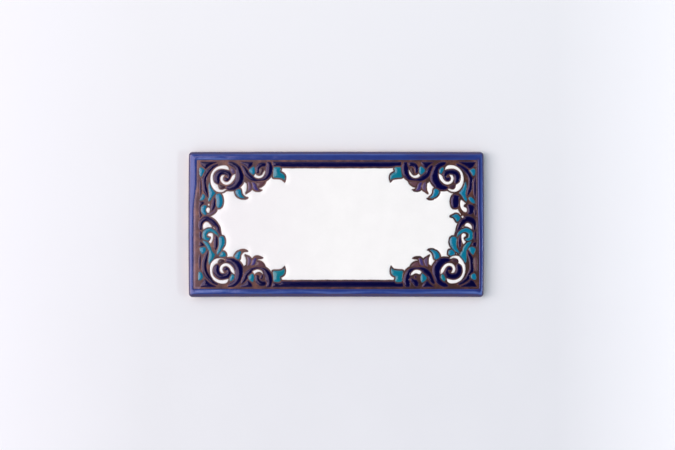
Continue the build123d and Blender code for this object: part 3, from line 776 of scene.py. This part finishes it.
# how far in the border's glaze thins toward its edge: furthest in along the foot, where the darker, browner rim partly
# stands in for shade on its outward slope, and least at the right end
bare_edge = 1.3 + np.tensordot((0.0, 0.55, -1.0, -0.45), sides(x, y)[1], 1)
thick = np.where(in_frame, np.clip(u, 0, 1), np.clip(0.05 + 0.9 * np.clip((inset_of(x, y) - bare_edge) / 2.2, 0, 1), 0, 1) * np.clip(t / 0.7 + 0.25, 0, 1))
thick[dry] = np.where(a_in > 0.02, 0.2, np.clip(-d, 0, 1))[dry]


def border_runs_and_painted_light(x, y):
    """Where the border's glaze is paler (above 0) or darker (below 0), along each side of the tile: partly its own runs
    and stains, partly painted sheen, highlights and shade.
    """
    d, w = sides(x, y)
    s = np.clip(t / np.maximum(t + np.maximum(d.min(0), 0), 1e-6), 0, 1)
    lazy = 0.06 * np.sin(0.071 * x + 1.0) + 0.04 * np.sin(0.19 * x + 0.13 * y)
    foot = (0.50 + 0.12 * np.sin(0.06 * x + 2.0)) * hump(s, 0.39 + 0.11 * np.cos(0.121 * x), 0.12) - 0.45 * hump(s, 0.06, 0.13) * reach(x, -75, 110, 20)
    foot += 0.55 * hump(s, 0.22 + 0.5 * lazy, 0.13) * reach(x, -110, -72, 24)
    foot += 0.35 * hump(s, 0.46, 0.13) * reach(x, 66, 110, 20)
    # the paler outer part along the top is a painted reflection of the back light
    top = 0.38 * hump(s, 0.68 + 0.5 * lazy, 0.14) * reach(x, -60, 50, 30) - 0.28 * hump(s, 0.30, 0.24) * reach(x, -62, 52, 30)
    left_end = reach(x, -110, -70, 16)
    # along the top toward the left end, the pale streaks near the frame line are painted highlights
    top += left_end * (0.75 * hump(s, 0.10 + 0.5 * lazy, 0.07) + 0.35 * hump(s, 0.52 - lazy, 0.10) * (0.6 + 0.4 * np.sin(0.55 * x)) - 0.35 * hump(s, 0.34 + lazy, 0.09))
    top += -0.55 * hump(s, 0.42 + lazy, 0.30) * reach(x, 52, 91, 14) + 0.5 * hump(s, 0.74 - 0.012 * (x - 74), 0.07) * reach(x, 66, 84, 8)
    # on the right end the outer part is paler, a painted reflection on the arris, and the inner part darker
    right = 0.10 + 0.45 * hump(s, 0.66, 0.15) * (0.7 + 0.3 * np.sin(0.09 * y)) + 0.4 * hump(s, 0.68, 0.12) * reach(y, -60, -28, 14) - 0.9 * hump(s, 0.2, 0.22)
    # a painted glint on the right end, low down
    right += 0.9 * hump(s, 0.60, 0.07) * reach(y, -47, -38, 5)
    # on the left end the broad paler band is painted sheen of the key and the dark line at its inner edge is painted
    # shade; the lower stain is the glaze's own
    left = 0.25 * hump(s, 0.5, 0.3) - 0.4 * hump(s, 0.08, 0.10) - 0.40 * hump(s, 0.25, 0.22) * reach(y, -60, -6, 12)
    return np.clip(w[0] * top + w[1] * foot + w[2] * right + w[3] * left, -1, 1)


glow = np.where(in_frame, 0.0, border_runs_and_painted_light(x, y))
# what each triangle is
WHITE, NAVY, TURQUOISE, VIOLET, PLUM, COBALT, BARE, SIDE, CLAY = range(9)
colour_of = {"n": NAVY, "t": TURQUOISE, "w": WHITE, "v": VIOLET, "p": PLUM}
cell_colour = np.array([colour_of[c[0]] for c in cells] + [WHITE])
mj = np.clip(np.rint((mid[:, 0] - GX0) / GRID).astype(int), 0, NX - 1)
mi = np.clip(np.rint((mid[:, 1] - GY0) / GRID).astype(int), 0, NY - 1)
mlab = label[mi, mj]
mdepth = sample(depth, mid[:, 0], mid[:, 1])
is_glaze = (mdepth > 0) & (mlab >= 0) & (bead_depth(mid[:, 0], mid[:, 1]) < 0)
tri_mat = np.where(is_glaze, cell_colour[np.clip(mlab, 0, len(cells))], BARE)
tri_mat = np.where(bead_depth(mid[:, 0], mid[:, 1]) > 0, COBALT, tri_mat)
m_out = np.maximum(-bead_depth(mid[:, 0], mid[:, 1]), 0)
# a pale lilac film on the frame line up the left end and low on the right, carried to the bare line by its tone: partly
# a thin glaze, partly painted sheen of the lights
film = np.clip((-91.5 - mid[:, 0]) / 1.5, 0, 1) * np.interp(mid[:, 1], (-45, 5, 15, 28, 45), (1.0, 1.0, 0.8, 0.55, 0.4))
film *= (0.9 + 0.1 * np.sin(0.35 * mid[:, 1])) * (0.10 + 0.90 * np.exp(-((m_out - 0.75) / 0.42) ** 2))
right_film_and_sheen = np.clip(mid[:, 0] - 93, 0, 1) * np.interp(mid[:, 1], (-22, -8), (0.0, 0.45)) * np.exp(-((m_out - 0.85) / 0.42) ** 2)
film = np.maximum(film, right_film_and_sheen)
tri_tone = np.where(is_glaze, cell_tone[np.clip(mlab, 0, len(cells))], np.where(tri_mat == BARE, film, 0.5))

verts = [np.column_stack([top_xy, z])]
vthick = [thick]
vglow = [glow]
faces = [tuple(f) for f in tris.tolist()]
fmat = tri_mat.tolist()
ftone = tri_tone.tolist()
count = len(top_xy)


def add_ring(inset, height, thickness):
    """A ring of points round the tile, inset from its edge."""
    global count
    n = len(edge_p)
    q = edge_p - edge_n * np.asarray(inset).reshape(-1, 1) if np.ndim(inset) else edge_p - edge_n * inset
    verts.append(np.column_stack([q, np.full(n, height) if np.ndim(height) == 0 else height]))
    vthick.append(np.full(n, thickness))
    vglow.append(np.full(n, 0.0))
    count += n
    return list(range(count - n, count))


def join_rings(upper, lower, mat):
    n = len(upper)
    for k in range(n):
        m = (k + 1) % n
        faces.append((upper[k], lower[k], lower[m], upper[m]))
        fmat.append(mat)
        ftone.append(0.5)


arris_z0 = z[rim_ids] - ARRIS_R * math.cos(ARRIS_FROM)
ring = rim_ids
for k in range(1, 8):
    a = ARRIS_FROM + (math.pi / 2 - ARRIS_FROM) * k / 7
    new = add_ring(0.03 + ARRIS_R - ARRIS_R * math.sin(a), arris_z0 + ARRIS_R * math.cos(a), 0.16 - 0.1 * k / 7)
    join_rings(ring, new, COBALT if k <= 6 else SIDE)
    ring = new
s = edge_s
uneven = 0.03 * (1 + np.sin(s * 0.31) * np.sin(s * 0.113 + 1.0)) / 2 + 0.015 * (1 + np.sin(s * 0.9 + 2.0)) / 2
for height, deep in ((4.6, 0.35), (3.4, 0.8), (2.2, 1.0), (1.2, 1.0), (0.55, 1.0)):
    new = add_ring(0.03 + uneven * deep, height, 0.0)
    join_rings(ring, new, SIDE)
    ring = new
foot_ring = add_ring(0.55, 0.0, 0.0)
join_rings(ring, foot_ring, CLAY)

# the back, with its keying grooves
KEYS, KEY_PITCH, KEY_W, KEY_LENGTH, KEY_DEPTH = 6, 14.0, 7.0, 182.0, 0.6


def slot_loop(cy, shrink):
    r = KEY_W / 2 - shrink
    half = KEY_LENGTH / 2 - KEY_W / 2
    q = [(-half + 2 * half * k / 60, cy - r) for k in range(60)]
    q += [(half + r * math.sin(math.pi * k / 16), cy - r * math.cos(math.pi * k / 16)) for k in range(16)]
    q += [(half - 2 * half * k / 60, cy + r) for k in range(60)]
    q += [(-half - r * math.sin(math.pi * k / 16), cy + r * math.cos(math.pi * k / 16)) for k in range(16)]
    return np.array(q)


back_pts = [edge_p - edge_n * 0.55]
back_rims = [(k, (k + 1) % len(edge_p)) for k in range(len(edge_p))]
back_z = [np.zeros(len(edge_p))]
for k in range(KEYS):
    cy = (k - (KEYS - 1) / 2) * KEY_PITCH
    for shrink, h in ((0.0, 0.0), (0.18, 0.14), (0.42, KEY_DEPTH - 0.12), (0.65, KEY_DEPTH)):
        loop = slot_loop(cy, shrink)
        b = sum(len(p) for p in back_pts)
        back_pts.append(loop)
        back_z.append(np.full(len(loop), h))
        back_rims += [(b + m, b + (m + 1) % len(loop)) for m in range(len(loop))]
back_pts = np.concatenate(back_pts)
back_z = np.concatenate(back_z)
made = geometry.delaunay_2d_cdt([Vector(p) for p in back_pts.tolist()], back_rims, [], 1, 1e-5)
old_of = [o[0] for o in made[3]]
ids = {}
extra = []
for new, old in enumerate(old_of):
    if old < len(edge_p):
        ids[new] = foot_ring[old]
    else:
        ids[new] = count + len(extra)
        extra.append((*made[0][new], back_z[old]))
verts.append(np.array(extra))
vthick.append(np.zeros(len(extra)))
vglow.append(np.zeros(len(extra)))
count += len(extra)
flat_xy = np.array([v[:] for v in made[0]])
for f in made[2]:
    (ax, ay), (bx, by), (cx, cy) = flat_xy[list(f)]
    turn = (bx - ax) * (cy - ay) - (by - ay) * (cx - ax)
    if abs(turn) < 1e-9:
        continue
    f = tuple(f) if turn < 0 else tuple(f)[::-1]
    faces.append(tuple(ids[v] for v in f))
    fmat.append(CLAY)
    ftone.append(0.5)

verts = np.concatenate(verts) * 0.001
vthick, vglow = np.concatenate(vthick), np.concatenate(vglow)
mesh = bpy.data.meshes.new("glazed_plaque")
mesh.from_pydata(verts.tolist(), [], faces)
mesh.update()
mesh.polygons.foreach_set("material_index", np.array(fmat, np.int32))
mesh.polygons.foreach_set("use_smooth", np.ones(len(faces), bool))
mesh.attributes.new("thick", "FLOAT", "POINT").data.foreach_set("value", vthick.astype(np.float32))
mesh.attributes.new("glow", "FLOAT", "POINT").data.foreach_set("value", vglow.astype(np.float32))
mesh.attributes.new("tone", "FLOAT", "FACE").data.foreach_set("value", np.array(ftone, np.float32))
# the foot of every glaze cell is a crease, and so are the edges of the back and its grooves
fm = np.array(fmat)
loop_edge = np.empty(len(mesh.loops), np.int32)
mesh.loops.foreach_get("edge_index", loop_edge)
sizes = np.empty(len(faces), np.int32)
mesh.polygons.foreach_get("loop_total", sizes)
dry_loop = np.repeat(np.isin(fm, (BARE,)), sizes)
clay_loop = np.repeat(fm == CLAY, sizes)
crease = np.zeros(len(mesh.edges), bool)
for flag in (dry_loop, clay_loop):
    yes = np.bincount(loop_edge[flag], minlength=len(mesh.edges)) > 0
    no = np.bincount(loop_edge[~flag], minlength=len(mesh.edges)) > 0
    crease |= yes & no
normals = np.empty(3 * len(faces), np.float32)
mesh.polygons.foreach_get("normal", normals)
normals = normals.reshape(-1, 3)
by_edge = np.argsort(loop_edge, kind="stable")
owner = np.repeat(np.arange(len(faces)), sizes)[by_edge]
first = np.searchsorted(loop_edge[by_edge], np.arange(len(mesh.edges)))
one, two = owner[first], owner[np.minimum(first + 1, len(owner) - 1)]
crease |= (fm[one] == CLAY) & (fm[two] == CLAY) & ((normals[one] * normals[two]).sum(1) < 0.93)
mesh.attributes.new("sharp_edge", "BOOLEAN", "EDGE").data.foreach_set("value", crease)
mesh.update()
plaque = bpy.data.objects.new("glazed_plaque", mesh)
bpy.context.collection.objects.link(plaque)


# ---------------------------------------------------------------------------
# materials
# ---------------------------------------------------------------------------
def lin(r, g, b):
    return tuple(((v / 255) / 12.92 if v <= 10 else ((v / 255 + 0.055) / 1.055) ** 2.4) for v in (r, g, b)) + (1.0,)


class Nodes:
    """A material's node tree with its shader, and short ways to add to it."""

    def __init__(self, name):
        self.mat = bpy.data.materials.new(name)
        self.mat.use_nodes = True
        self.tree = self.mat.node_tree
        self.tree.nodes.clear()
        out = self.tree.nodes.new("ShaderNodeOutputMaterial")
        self.bsdf = self.tree.nodes.new("ShaderNodeBsdfPrincipled")
        self.link(self.bsdf.outputs[0], out.inputs[0])
        self.coord = self.tree.nodes.new("ShaderNodeTexCoord").outputs["Object"]

    def link(self, a, b):
        self.tree.links.new(a, b)

    def noise(self, scale, detail=3.0, rough=0.55, where=None):
        n = self.tree.nodes.new("ShaderNodeTexNoise")
        n.inputs["Scale"].default_value = scale
        n.inputs["Detail"].default_value = detail
        n.inputs["Roughness"].default_value = rough
        self.link(where or self.coord, n.inputs["Vector"])
        return n.outputs["Fac"]

    def attribute(self, name):
        n = self.tree.nodes.new("ShaderNodeAttribute")
        n.attribute_name = name
        return n.outputs["Fac"]

    def ramp(self, fac, *stops):
        n = self.tree.nodes.new("ShaderNodeValToRGB")
        e = n.color_ramp.elements
        while len(e) < len(stops):
            e.new(0.5)
        for el, (at, col) in zip(e, stops):
            el.position = at
            el.color = col if len(col) == 4 else (*col, 1)
        self.link(fac, n.inputs[0])
        return n.outputs["Color"]

    def mix(self, fac, a, b, how="MIX"):
        n = self.tree.nodes.new("ShaderNodeMix")
        n.data_type = "RGBA"
        n.blend_type = how
        for sock, v in ((n.inputs[0], fac), (n.inputs[6], a), (n.inputs[7], b)):
            if isinstance(v, (float, int, tuple)):
                sock.default_value = v
            else:
                self.link(v, sock)
        return n.outputs[2]

    def span(self, v, lo, hi, to_lo, to_hi):
        n = self.tree.nodes.new("ShaderNodeMapRange")
        n.inputs[1].default_value, n.inputs[2].default_value = lo, hi
        n.inputs[3].default_value, n.inputs[4].default_value = to_lo, to_hi
        self.link(v, n.inputs[0])
        return n.outputs[0]

    def math(self, how, a, b):
        n = self.tree.nodes.new("ShaderNodeMath")
        n.operation = how
        for sock, v in zip(n.inputs, (a, b)):
            if isinstance(v, (float, int)):
                sock.default_value = v
            else:
                self.link(v, sock)
        return n.outputs[0]

    def bump(self, height, distance, strength, under=None):
        n = self.tree.nodes.new("ShaderNodeBump")
        n.inputs["Distance"].default_value = distance
        n.inputs["Strength"].default_value = strength
        self.link(height, n.inputs["Height"])
        if under is not None:
            self.link(under, n.inputs["Normal"])
        return n.outputs[0]

    def set(self, **values):
        for k, v in values.items():
            sock = self.bsdf.inputs[k.replace("_", " ")]
            if isinstance(v, (float, int, tuple)):
                sock.default_value = v
            else:
                self.link(v, sock)


def glaze_material(name, thin, body, other, rough, mottle, tint=(1.0, 1.0, 1.0, 1.0), ior=1.52, run=None, far=None):
    """Fired glaze: thin and stained by the line at a cell's foot, full-bodied inside, a little uneven all over."""
    m = Nodes(name)
    slow = m.noise(95.0, 3.0)
    tone = m.math("ADD", m.math("MULTIPLY", slow, 0.75), m.math("MULTIPLY", m.attribute("tone"), 0.5))
    pooled = m.ramp(tone, (0.40, body), (0.78, other))
    grain = m.noise(900.0, 2.0)
    pooled = m.mix(m.span(grain, 0.35, 0.75, 0.0, mottle), pooled, thin)
    depth_in = m.math("ADD", m.attribute("thick"), m.math("MULTIPLY", m.math("SUBTRACT", m.noise(420.0), 0.5), 0.22))
    # far: the colour the white takes toward the left end, a painted shade that evens out the brighter key light there
    if far:
        split = m.tree.nodes.new("ShaderNodeSeparateXYZ")
        m.link(m.coord, split.inputs[0])
        pooled = m.mix(m.span(split.outputs["X"], -0.09, 0.0, 1.0, 0.0), pooled, far)
    # run: the colours where the glow attribute is paler or darker, partly glaze runs and stains, partly painted sheen,
    # highlights and shade
    if run:
        run_and_light = m.math("ADD", m.attribute("glow"), m.math("MULTIPLY", m.math("SUBTRACT", m.noise(260.0), 0.5), 0.25))
        pooled = m.mix(m.span(run_and_light, 0.05, 1.0, 0.0, 1.0), pooled, run[0])
        pooled = m.mix(m.span(run_and_light, -0.05, -1.0, 0.0, 1.0), pooled, run[1])
    colour = m.mix(m.span(depth_in, 0.03, 0.36, 0.0, 1.0), thin, pooled)
    peel = m.bump(m.noise(620.0, 2.0), 0.0003, 0.10)
    peel = m.bump(m.noise(150.0, 2.0), 0.0010, 0.06, peel)
    m.set(Base_Color=colour, Roughness=m.span(m.noise(240.0), 0.3, 0.7, rough, rough + 0.07), Normal=peel, IOR=ior, Specular_Tint=tint)
    return m.mat


white = glaze_material("glaze_white", lin(196, 186, 184), lin(247, 244, 240), lin(251, 248, 244), 0.10, 0.03, ior=1.42, far=lin(239, 234, 234))
navy = glaze_material("glaze_navy", lin(74, 48, 68), lin(2, 3, 48), lin(4, 5, 58), 0.10, 0.03, (0.98, 0.76, 1.0, 1.0), 1.43)
turquoise = glaze_material("glaze_turquoise", lin(66, 84, 94), lin(6, 117, 132), lin(8, 115, 150), 0.11, 0.05, ior=1.49)
violet = glaze_material("glaze_violet", lin(96, 68, 76), lin(58, 50, 112), lin(92, 74, 106), 0.12, 0.2, (1.0, 0.88, 1.0, 1.0), 1.42)
plum = glaze_material("glaze_plum", lin(70, 46, 52), lin(60, 36, 52), lin(100, 66, 76), 0.16, 0.1, ior=1.42)
# the border takes its paler and darker colours from the glow attribute: partly its own runs and stains, partly painted
# light and shade
cobalt = glaze_material("glaze_cobalt", lin(76, 62, 78), lin(34, 56, 126), lin(42, 64, 134), 0.12, 0.05, (0.76, 0.70, 1.0, 1.0), 1.56,
                        (lin(100, 122, 186), lin(50, 38, 88)))

# the line is redder where it is drawn thin and close by the glaze and dark where it fills a gap; it is paler to the
# left, painted sheen of the key light, and deepest toward the right end and the foot
m = Nodes("bare_line")
blot = m.noise(160.0, 4.0)
split = m.tree.nodes.new("ShaderNodeSeparateXYZ")
m.link(m.coord, split.inputs[0])
gap = m.span(m.attribute("thick"), 0.10, 0.42, 0.0, 1.0)
pale = m.mix(gap, m.ramp(blot, (0.32, lin(94, 64, 68)), (0.50, lin(116, 82, 80)), (0.70, lin(156, 108, 92))), m.ramp(blot, (0.32, lin(68, 48, 58)), (0.50, lin(90, 64, 72)), (0.70, lin(124, 90, 88))))
deep = m.mix(gap, m.ramp(blot, (0.32, lin(54, 29, 30)), (0.50, lin(78, 44, 39)), (0.70, lin(120, 74, 58))), m.ramp(blot, (0.32, lin(32, 18, 24)), (0.50, lin(45, 26, 31)), (0.70, lin(76, 49, 45))))
# paler toward the left end: painted sheen of the key light
colour = m.mix(m.span(split.outputs["X"], -0.095, 0.075, 0.0, 1.0), pale, deep)
low = m.math("SUBTRACT", m.math("MULTIPLY", split.outputs["X"], 0.35), split.outputs["Y"])
colour = m.mix(m.span(low, -0.012, 0.02, 0.0, 1.0), colour, (0.78, 0.68, 0.66, 1.0), "MULTIPLY")
speck = m.noise(1900.0, 3.0, 0.7)
colour = m.mix(m.span(speck, 0.45, 0.75, 0.0, 0.45), colour, lin(52, 38, 42))
# the pale lilac film carried by the tone, partly painted sheen
colour = m.mix(m.math("MULTIPLY", m.attribute("tone"), m.span(m.noise(700.0), 0.3, 0.7, 0.35, 0.95)), colour, lin(158, 130, 154))
rough_skin = m.bump(speck, 0.0003, 0.5)
m.set(Base_Color=colour, Roughness=m.span(blot, 0.3, 0.7, 0.40, 0.58), Normal=rough_skin, IOR=1.3)
bare = m.mat


def clay_nodes(m):
    body = m.noise(70.0, 4.0)
    colour = m.ramp(body, (0.30, lin(166, 122, 100)), (0.52, lin(182, 140, 116)), (0.74, lin(198, 162, 138)))
    grog = m.noise(1500.0, 3.0, 0.7)
    colour = m.mix(m.span(grog, 0.58, 0.72, 0.0, 0.5), colour, lin(150, 96, 72))
    chalk = m.noise(2600.0, 2.0)
    return m.mix(m.span(chalk, 0.64, 0.74, 0.0, 0.4), colour, lin(228, 204, 184)), grog


m = Nodes("fired_clay")
colour, grog = clay_nodes(m)
m.set(Base_Color=colour, Roughness=m.span(grog, 0.3, 0.7, 0.78, 0.95), Normal=m.bump(m.noise(90.0, 3.0), 0.002, 0.12, m.bump(grog, 0.0006, 0.5)))
clay = m.mat

# the glaze runs over the arris and stops, unevenly, part of the way down the side
m = Nodes("glazed_side")
colour, grog = clay_nodes(m)
split = m.tree.nodes.new("ShaderNodeSeparateXYZ")
m.link(m.coord, split.inputs[0])
runs = m.noise(75.0, 4.0, 0.6)
edge_at = m.span(runs, 0.25, 0.75, 0.0001, 0.0042)
over = m.math("SUBTRACT", split.outputs["Z"], edge_at)
cover = m.span(over, 0.0, 0.0005, 0.0, 1.0)
film = m.ramp(m.span(over, 0.0, 0.0036, 0.0, 1.0), (0.0, lin(98, 76, 90)), (0.35, lin(66, 66, 116)), (1.0, lin(56, 64, 122)))
film = m.mix(m.span(m.noise(500.0), 0.4, 0.75, 0.0, 0.5), film, lin(92, 72, 100))
colour = m.mix(cover, colour, film)
m.set(Base_Color=colour, Roughness=m.span(cover, 0.0, 1.0, 0.85, 0.16), Normal=m.bump(cover, 0.0004, 0.5, m.bump(grog, 0.0004, 0.22)))
side = m.mat

for mat in (white, navy, turquoise, violet, plum, cobalt, bare, side, clay):
    mesh.materials.append(mat)

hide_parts("ceramic_tile")
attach(plaque, "root")

# ---------------------------------------------------------------------------
# stage, light, camera
# ---------------------------------------------------------------------------
floor_mesh = bpy.data.meshes.new("floor")
floor_mesh.from_pydata([(-1.6, -1.6, 0), (1.6, -1.6, 0), (1.6, 1.6, 0), (-1.6, 1.6, 0)], [], [(0, 1, 2, 3)])
floor = bpy.data.objects.new("floor", floor_mesh)
bpy.context.collection.objects.link(floor)
m = Nodes("pale_floor")
split = m.tree.nodes.new("ShaderNodeSeparateXYZ")
m.link(m.coord, split.inputs[0])
floor_and_painted_light = m.ramp(m.noise(14.0), (0.3, lin(230, 229, 231)), (0.7, lin(232, 231, 233)))
# paler toward the top, the left and the right edge: painted light across the floor
floor_and_painted_light = m.mix(m.span(split.outputs["Y"], -0.06, 0.16, 0.0, 1.0), floor_and_painted_light, lin(238, 237, 238))
floor_and_painted_light = m.mix(m.span(split.outputs["X"], -0.13, -0.25, 0.0, 1.0), floor_and_painted_light, lin(243, 241, 244))
m.set(Base_Color=m.mix(m.span(split.outputs["X"], 0.15, 0.235, 0.0, 1.0), floor_and_painted_light, lin(254, 252, 253)), Roughness=0.9)
floor_mesh.materials.append(m.mat)


def softbox(name, at, aim, size, power, colour):
    data = bpy.data.lights.new(name, "AREA")
    data.shape = "RECTANGLE"
    data.size, data.size_y = size
    data.energy = power
    data.color = colour
    o = bpy.data.objects.new(name, data)
    o.location = at
    o.rotation_mode = "QUATERNION"
    o.rotation_quaternion = (Vector(aim) - Vector(at)).to_track_quat("-Z", "Y")
    bpy.context.collection.objects.link(o)
    return o


# one big soft key from the left, brightest low down and dimmer at its top and its two wings
softbox("key_low", (-1.99, 0.08, 1.67), (0.0, 0.0, 0.0), (1.35, 1.25), 30.9, (1.0, 0.905, 0.895))
softbox("key_high", (-0.95, 0.08, 2.42), (0.0, 0.0, 0.0), (1.35, 1.35), 21.5, (1.0, 0.905, 0.895))
softbox("wing_front", (-1.29, -1.16, 1.93), (0.0, 0.0, 0.0), (0.9, 0.9), 4.6, (1.0, 0.905, 0.895))
softbox("wing_back", (-1.29, 1.16, 1.93), (0.0, 0.0, 0.0), (0.9, 0.9), 4.6, (1.0, 0.905, 0.895))
softbox("lamp_right", (1.18, -0.20, 1.04), (0.0, 0.0, 0.0), (0.45, 0.20), 4.3, (0.80, 0.94, 1.0))
softbox("fill_back", (0.0, 0.75, 1.1), (0.0, 0.0, 0.0), (1.2, 0.6), 1.9, (0.86, 0.95, 1.0))
softbox("fill_front", (0.0, -0.75, 1.1), (0.0, 0.0, 0.0), (1.2, 0.6), 0.75, (0.86, 0.95, 1.0))

world = bpy.data.worlds.new("studio")
bpy.context.scene.world = world
world.use_nodes = True
wt = world.node_tree
wt.nodes.clear()
w_out = wt.nodes.new("ShaderNodeOutputWorld")
w_bg = wt.nodes.new("ShaderNodeBackground")
w_ramp = wt.nodes.new("ShaderNodeValToRGB")
w_sep = wt.nodes.new("ShaderNodeSeparateXYZ")
w_co = wt.nodes.new("ShaderNodeTexCoord")
wt.links.new(w_co.outputs["Generated"], w_sep.inputs[0])
wt.links.new(w_sep.outputs["Z"], w_ramp.inputs[0])
e = w_ramp.color_ramp.elements
e.new(0.12)
e.new(0.6)
e.new(0.9)
for el, at, level, blue in zip(e, (0.0, 0.12, 0.6, 0.9, 1.0), (0.98, 0.90, 0.34, 0.05, 0.01), (0.0, 0.7, 1.0, 1.0, 1.0)):
    el.position = at
    el.color = (level * (1 - 0.30 * blue), level * (1 - 0.08 * blue), level * (1 + 0.14 * blue), 1)
wt.links.new(w_ramp.outputs[0], w_bg.inputs[0])
w_bg.inputs[1].default_value = 0.88
wt.links.new(w_bg.outputs[0], w_out.inputs[0])

view = bpy.context.scene.view_settings
view.view_transform = "Standard"
view.look = "None"
view.exposure = 0.0

LENS, SENSOR = 80.0, 36.0
cam_data = bpy.data.cameras.new("camera")
cam_data.lens = LENS
cam_data.sensor_width = SENSOR
cam_data.sensor_fit = "HORIZONTAL"
camera = bpy.data.objects.new("camera", cam_data)
camera.location = ((337.5 - MID_X) * UNIT * 0.001, (MID_Y - 225.0) * UNIT * 0.001, 0.008 + LENS / SENSOR * 675 * UNIT * 0.001)
bpy.context.collection.objects.link(camera)
bpy.context.scene.camera = camera
